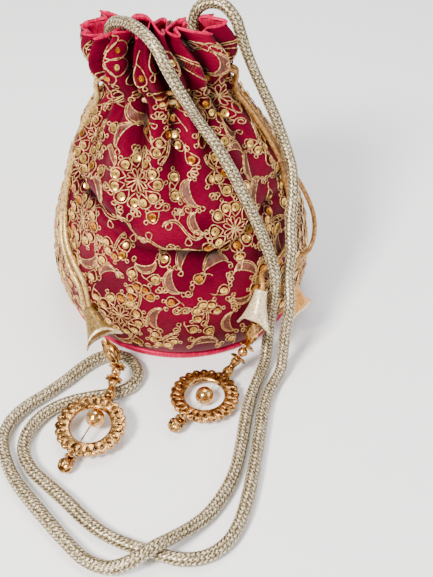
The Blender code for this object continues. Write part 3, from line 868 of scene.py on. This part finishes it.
# Kind, azimuth in degrees, height up the side in mm, turn in degrees
PLACED = (("flower", -110, 107, 10), ("flower", -115, 30, 0), ("flower", -47, 42, 20),
          ("sprig", -90, 126, 5), ("crescent", -121, 129, -20), ("crescent", -77, 103, 8),
          ("small_crescent", -77, 88, 12), ("crescent", -90, 56, 15), ("crescent", -72, 61, -80),
          ("small_crescent", -122, 52, -60), ("crescent", -97, 33, -10), ("crescent", -66, 26, 5),
          ("vine", -99, 76, -12), ("vine", -86, 84, -20), ("small_crescent", -37, 127, 30),
          ("crescent", -37, 105, -30), ("vine", -128, 84, 10), ("sprig", -78, 36, 20),
          ("small_crescent", -104, 66, 100), ("sprig", -106, 46, 15))
# Kind, and how many to try to fit in
FILLERS = (("flower", 8), ("small_flower", 7), ("sprig", 20), ("crescent", 34), ("vine", 30),
           ("small_crescent", 30), ("drop", 300), ("loops", 110), ("curl", 190))
EMBROIDERY_LOW = 7.0
EMBROIDERY_HIGH = SIDE_LENGTH - 3.0


def radius_there(along):
    return float(np.interp(along, SIDE_ALONG, SIDE[:, 0]))


def apart(one, other):
    """The distance on the cloth between two places (azimuth, along), in mm."""
    turn = (one[0] - other[0] + 180.0) % 360.0 - 180.0
    across = math.radians(turn) * radius_there((one[1] + other[1]) / 2)
    return math.hypot(across, one[1] - other[1])


def arrange():
    """The chosen motifs first, then fillers from large to small wherever they fit."""
    placed = [(kind, azimuth, along, turn) for kind, azimuth, along, turn in PLACED]
    for kind, wanted in FILLERS:
        size = MOTIFS[kind][1]
        for attempt in range(wanted * 14):
            along = random.uniform(EMBROIDERY_LOW + size * 0.6, EMBROIDERY_HIGH - size * 0.5)
            if random.random() > radius_there(along) / 73.0:
                continue
            azimuth = random.uniform(-180, 180)
            if all(apart((azimuth, along), (a, h)) > 0.9 * (size + MOTIFS[k][1]) for k, a, h, t in placed):
                placed.append((kind, azimuth, along, random.uniform(-180, 180)))
    return placed


def laid_on_cloth(points, azimuth, along, turn, lift):
    """Flat motif points, in mm, moved on to the cloth."""
    scale = 180.0 / math.pi / radius_there(along)
    result = []
    for x, y in turned_points(points, (0, 0), turn):
        a = azimuth + x * scale
        h = min(max(along + y, 1.0), SIDE_LENGTH - 1.0)
        here, across, up, out = cloth_frame(a, h)
        result.append((here + out * lift) * MM)
    return result


def rounded(points):
    """Extra points along a listed line."""
    if len(points) > 7:
        return points
    return [(p[0], p[1]) for p in smooth_points([(x, y, 0.0) for x, y in points], 1.3)]


def thread_mesh(name, lines, radius):
    """All the threads of one kind as one mesh of thin round tubes."""
    data = bpy.data.curves.new(name, "CURVE")
    data.dimensions = "3D"
    data.bevel_depth = radius * MM
    data.bevel_resolution = 0
    data.use_fill_caps = True
    for line in lines:
        spline = data.splines.new("POLY")
        spline.points.add(len(line) - 1)
        for point, place in zip(spline.points, line):
            point.co = (*place, 1.0)
    return mesh_from_curve(name, data)


def paint_fold_shade(mesh):
    """Marks how deep in a fold each vertex lies, from 0 to 1, as painted shade for the thread's colour."""
    hollow = mesh.attributes.new("hollow", "FLOAT", "POINT")
    for vert in mesh.vertices:
        x, y, z = vert.co / MM
        azimuth = math.degrees(math.atan2(y, x - lean(z)))
        along = float(np.interp(z, SIDE[:, 1], SIDE_ALONG))
        hollow.data[vert.index].value = smooth_step(-folds(azimuth, along), 0.3, 4.2)
    return mesh


def zari(name, dark, light, metal):
    """Gold-wrapped thread, with painted glints from fine noise, and painted shade that darkens the thread
    down in the folds.
    """
    mat, tree, shader = new_material(name, light, 0.36, metal)
    where = add_node(tree, "ShaderNodeTexCoord")
    # Painted glints: fine noise mixes the thread between a shaded dark gold and a lit light gold.
    glints = add_node(tree, "ShaderNodeTexNoise", {"Scale": 700.0, "Detail": 2.0, "Roughness": 0.7},
                      {"Vector": where.outputs["Object"]})
    ramp = add_ramp(tree, glints.outputs["Fac"], (0.34, dark), (0.60, light))
    # Painted shade: the thread's colour is mixed towards dark brown by how deep in a fold it lies.
    hollow = add_node(tree, "ShaderNodeAttribute", {"attribute_name": "hollow"})
    fold_shaded = add_node(tree, "ShaderNodeMixRGB", {"blend_type": "MIX", "Color2": colour("#2C1608")},
                      {"Fac": hollow.outputs["Fac"], "Color1": ramp.outputs["Color"]})
    tree.links.new(fold_shaded.outputs["Color"], shader.inputs["Base Color"])
    return mat


def sequin_mesh(name, places):
    """Cupped sequins with a hole in the middle, each tipped a little its own way."""
    shape = bmesh.new()
    for azimuth, along, radius in places:
        here, across, up, out = cloth_frame(azimuth, along)
        tip = Matrix.Rotation(random.uniform(-SEQUIN_TIP, SEQUIN_TIP), 3, "X")
        tip = tip @ Matrix.Rotation(random.uniform(-SEQUIN_TIP, SEQUIN_TIP), 3, "Y")
        turn = Matrix((across, up, out)).transposed() @ tip
        rings = []
        for share, rise in ((0.2, 0.15), (0.62, 0.12), (1.0, 0.42)):
            ring = []
            for i in range(12):
                angle = 2 * math.pi * i / 12
                x = radius * share * math.cos(angle)
                y = radius * share * math.sin(angle)
                ring.append(shape.verts.new((here + turn @ Vector((x, y, rise + 0.5))) * MM))
            rings.append(ring)
        for inner, outer in zip(rings, rings[1:]):
            for i in range(12):
                shape.faces.new((inner[i - 1], outer[i - 1], outer[i], inner[i]))
    return mesh_of(shape, name)


def sequin_film(name, base):
    """Metallised plastic film, stamped into a cup."""
    mat, tree, shader = new_material(name, base, 0.24, 0.9)
    where = add_node(tree, "ShaderNodeTexCoord")
    cloudy = add_node(tree, "ShaderNodeTexNoise", {"Scale": 260.0, "Detail": 2.0},
                      {"Vector": where.outputs["Object"]})
    add_bump(tree, shader, 0.25, 0.0004, cloudy)
    return mat


def embroidery():
    outline, hatch, gold_sequins, amber_sequins = [], [], [], []
    for kind, azimuth, along, turn in arrange():
        motif = MOTIFS[kind][0]()
        for line in motif.lines:
            outline.append(laid_on_cloth(rounded(line), azimuth, along, turn, 0.32))
        for line in motif.hatch:
            hatch.append(laid_on_cloth(line, azimuth, along, turn, 0.2))
        for x, y, radius in motif.sequins:
            x, y = turned_points([(x, y)], (0, 0), turn)[0]
            near_rim = smooth_step(along + y, NECK_ALONG - 20.0, NECK_ALONG - 8.0)
            radius = radius * (1 - 0.2 * near_rim)
            place = (azimuth + math.degrees(x / radius_there(along)), along + y, radius)
            bunch = amber_sequins if random.random() < 0.22 else gold_sequins
            if EMBROIDERY_LOW - 3 < place[1] < SIDE_LENGTH - 3:
                bunch.append(place)
    half = len(outline) // 2
    pale = zari("pale_gold_zari_thread", "#6E4018", "#E4B674", 0.5)
    for name, lines in (("zari_outlines_a", outline[:half]), ("zari_outlines_b", outline[half:])):
        add_piece(name, paint_fold_shade(thread_mesh(name, lines, THREAD_R)), pale)
    item = add_piece("zari_hatching", paint_fold_shade(thread_mesh("zari_hatching", hatch, THREAD_R)),
                     zari("copper_zari_thread", "#401810", "#7A3C28", 0.2))
    item = add_piece("gold_sequins", sequin_mesh("gold_sequins", gold_sequins),
                     sequin_film("gold_sequin_film", "#DDAE58"))
    item = add_piece("amber_sequins", sequin_mesh("amber_sequins", amber_sequins),
                     sequin_film("amber_sequin_film", "#B4701E"))


embroidery()

# ---------------------------------------------------------------- gilt tassels
# Cast and plated brass pieces threaded on two wires: fluted bud, two star caps with a round bead
# between them, neck tube, pierced ring with a sliding bead across it, and a ribbed drop.
RING_OUTER = 18.5
RING_HOLE = 10.5
SCALLOPS = 24
BEAD_R = 4.9
# The sides of the turned pieces, as (radius, height) from the foot
NECK_SIDE = ((2.6, -1.4), (3.1, 0.8), (2.7, 2.6), (1.9, 4.4), (2.1, 6.0), (2.7, 7.6), (2.4, 9.1))
STAR_SIDE = ((2.2, 0), (4.6, 0.25), (4.7, 0.9), (3.9, 1.6), (2.8, 2.2))
BUD_SIDE = ((1.9, -1.6), (2.9, 0.6), (4.2, 4.0), (3.6, 7.6), (2.5, 10.2), (1.9, 12.6))
DROP_SIDE = ((0.9, -0.2), (2.9, 1.0), (4.2, 3.4), (3.6, 5.6), (1.8, 7.5))
CAP_SIDE = ((3.3, 0), (3.6, 0.5), (2.8, 1.4), (1.5, 2.2))
# Ring centre, ring heading and pitch, stem heading and pitch, bud heading and pitch.
# A heading is in degrees from +Y towards +X; the direction points up the tassel, away from the drop.
TASSELS = {"left": ((-43.8, -122.3, 8.2), 25.0, 8.0, 10.0, 12.0, -39.0, 32.0),
           "right": ((14.0, -99.0, 5.2), 36.0, 0.0, 50.5, 39.0, 63.0, 78.0)}


def direction_of(heading, pitch):
    level = math.cos(math.radians(pitch))
    return Vector((math.sin(math.radians(heading)) * level, math.cos(math.radians(heading)) * level,
                   math.sin(math.radians(pitch))))


def gilt(name, dark, light, roughness):
    """Gold-plated brass, darker and lighter in random patches, and unevenly cast."""
    mat, tree, shader = new_material(name, light, roughness, 1.0)
    where = add_node(tree, "ShaderNodeTexCoord")
    patches = add_node(tree, "ShaderNodeTexNoise", {"Scale": 420.0, "Detail": 3.0, "Roughness": 0.6},
                       {"Vector": where.outputs["Object"]})
    ramp = add_ramp(tree, patches.outputs["Fac"], (0.38, dark), (0.60, light))
    tree.links.new(ramp.outputs["Color"], shader.inputs["Base Color"])
    add_bump(tree, shader, 0.4, 0.0006, patches)
    return mat


GILT = gilt("gilt_brass_cast", "#5E3812", "#D2A060", 0.24)
BRIGHT_GILT = gilt("gilt_brass_polished", "#B5762F", "#F2C888", 0.16)


def facing(foot, way):
    """The matrix that puts a turned piece's foot at the point, with its own Z along the way."""
    return Matrix.Translation(Vector(foot) * MM) @ way.to_track_quat("Z", "Y").to_matrix().to_4x4()


def fluted_piece(name, side_profile, flutes, depth, foot, way, body, node):
    """A turned piece whose side is pressed in between its flutes. side_profile is (radius, height)."""
    fine = smooth_points([(r, z, 0.0) for r, z in side_profile], 0.35)
    around = max(flutes * 6, 24)
    shape = bmesh.new()
    bmesh.ops.create_grid(shape, x_segments=around, y_segments=len(fine) - 1, size=0.5)
    for vert in shape.verts:
        angle = (vert.co.x + 0.5) * 2 * math.pi
        radius, height = fine[int(round((vert.co.y + 0.5) * (len(fine) - 1)))][:2]
        radius *= 1 - depth * (0.5 - 0.5 * math.cos(flutes * angle))
        vert.co = (radius * math.cos(angle) * MM, radius * math.sin(angle) * MM, height * MM)
    bmesh.ops.remove_doubles(shape, verts=shape.verts, dist=0.000003)
    bmesh.ops.holes_fill(shape, edges=shape.edges, sides=around)
    bmesh.ops.recalc_face_normals(shape, faces=shape.faces)
    mesh = mesh_of(shape, name)
    mesh.transform(facing(foot, way))
    item = add_piece(name, mesh, GILT, body)
    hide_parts(node)


def circle_points(radius, count, middle=(0.0, 0.0), start=0.0):
    return [(middle[0] + radius * math.cos(start + 2 * math.pi * i / count),
             middle[1] + radius * math.sin(start + 2 * math.pi * i / count)) for i in range(count)]


def pierced_ring(name, centre, way, node):
    """A flat cast ring: scalloped edge, a drop-shaped hole in each scallop and a smooth round inner rim."""
    outline = []
    for i in range(SCALLOPS * 8):
        angle = 2 * math.pi * i / (SCALLOPS * 8)
        radius = RING_OUTER - 0.7 - 1.7 * (1 - abs(math.sin(math.pi * i / 8)))
        outline.append((radius * math.cos(angle), radius * math.sin(angle)))
    outlines = [outline, circle_points(RING_HOLE + 1.0, 64)]
    for i in range(SCALLOPS):
        angle = 2 * math.pi * (i + 0.5) / SCALLOPS
        hole = [(x, y + 12.6) for x, y in drop_outline(4.0, 2.0, steps=10)[:-1]]
        outlines.append(turned_points(hole, (0, 0), math.degrees(angle) - 90.0))
    data = bpy.data.curves.new(name, "CURVE")
    data.dimensions = "2D"
    data.fill_mode = "BOTH"
    data.extrude = 0.7 * MM
    data.bevel_depth = 0.6 * MM
    data.bevel_resolution = 2
    for points in outlines:
        spline = data.splines.new("POLY")
        spline.use_cyclic_u = True
        spline.points.add(len(points) - 1)
        for point, (x, y) in zip(spline.points, points):
            point.co = (x * MM, y * MM, 0.0, 1.0)
    mesh = mesh_from_curve(name, data)
    shape = bmesh.new()
    shape.from_mesh(mesh)
    rim = bmesh.ops.create_circle(shape, segments=12, radius=1.15 * MM,
                                  matrix=Matrix.Translation(((RING_HOLE + 1.1) * MM, 0, 0))
                                  @ Matrix.Rotation(math.pi / 2, 4, "X"))["verts"]
    edges = list({edge for vert in rim for edge in vert.link_edges})
    bmesh.ops.spin(shape, geom=rim + edges, cent=(0, 0, 0), axis=(0, 0, 1), angle=2 * math.pi, steps=72,
                   use_merge=True)
    bmesh.ops.remove_doubles(shape, verts=shape.verts, dist=0.000003)
    bmesh.ops.recalc_face_normals(shape, faces=shape.faces)
    shape.to_mesh(mesh)
    shape.free()
    across = way.cross(Vector((0, 0, 1))).normalized()
    turn = Matrix((across, way, across.cross(way))).transposed().to_4x4()
    mesh.transform(Matrix.Translation(Vector(centre) * MM) @ turn)
    item = add_piece(name, mesh, GILT)
    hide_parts(node)


def smooth_bead(name, radius, middle, way, body, node):
    shape = bmesh.new()
    bmesh.ops.create_uvsphere(shape, u_segments=32, v_segments=20, radius=radius * MM)
    mesh = mesh_of(shape, name)
    mesh.transform(facing(middle, way))
    item = add_piece(name, mesh, BRIGHT_GILT, body)
    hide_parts(node)


def tassel(side, bead_at):
    centre, heading, pitch, stem_heading, stem_pitch, bud_heading, bud_pitch = TASSELS[side]
    centre = Vector(centre)
    ring_way = direction_of(heading, pitch)
    stem_way = direction_of(stem_heading, stem_pitch)
    bud_way = direction_of(bud_heading, bud_pitch)
    stem_foot = centre + ring_way * (RING_OUTER + 1.6)
    stem_top = stem_foot + stem_way * 19.8
    pierced_ring(f"pierced_ring_{side}", centre, ring_way, f"ring_{side}")
    smooth_bead(f"sliding_bead_{side}", BEAD_R, centre + ring_way * bead_at, ring_way, f"slider_{side}",
                f"centre_bead_{side}")
    fluted_piece(f"neck_{side}", NECK_SIDE, 6, 0.06, stem_foot, stem_way, "pouch", f"neck_tube_{side}")
    fluted_piece(f"lower_star_{side}", STAR_SIDE, 8, 0.24, stem_foot + stem_way * 9.3, stem_way, "pouch",
                 f"lower_flange_{side}")
    smooth_bead(f"stem_bead_{side}", 2.75, stem_foot + stem_way * 14.4, stem_way, f"spinner_{side}",
                f"round_bead_{side}")
    fluted_piece(f"upper_star_{side}", STAR_SIDE, 8, 0.24, stem_foot + stem_way * 17.3, stem_way, "pouch",
                 f"upper_flange_{side}")
    fluted_piece(f"bud_{side}", BUD_SIDE, 7, 0.2, stem_top + bud_way * 2.4, bud_way, "pouch",
                 f"fluted_bud_{side}")
    fluted_piece(f"drop_{side}", DROP_SIDE, 8, 0.2, centre - ring_way * (RING_OUTER + 10.5), ring_way,
                 f"drop_{side}", f"drop_bead_{side}")
    fluted_piece(f"cap_{side}", CAP_SIDE, 8, 0.16, centre - ring_way * (RING_OUTER + 2.6), ring_way,
                 f"drop_{side}", f"drop_cap_{side}")


def keep_cad(node, mat):
    """A CAD piece whose shape is right keeps it, and takes a finished material."""
    mesh = bpy.data.objects[node].data
    mesh.materials.clear()
    mesh.materials.append(mat)


tassel("left", 5.0)
tassel("right", 0.0)
THREAD = gold_satin("cream_cotton_thread", "#B9AC8C", "#EFE6CC", 1200.0, 0.6)
for node, mat in (("stem_wire_left", GILT), ("stem_wire_right", GILT), ("pin_wire_left", GILT),
                  ("pin_wire_right", THREAD)):
    keep_cad(node, mat)


# ---------------------------------------------------------------- base
# A round satin panel closes the bottom, over a card disc that keeps it flat.

def card():
    mat, tree, shader = new_material("grey_card_pressed", "#8A7A60", 0.9)
    where = add_node(tree, "ShaderNodeTexCoord")
    fibres = add_node(tree, "ShaderNodeTexNoise", {"Scale": 500.0, "Detail": 4.0},
                      {"Vector": where.outputs["Object"]})
    add_bump(tree, shader, 0.3, 0.0002, fibres)
    return mat


keep_cad("base_panel", SATIN)
keep_cad("base_stiffener", card())
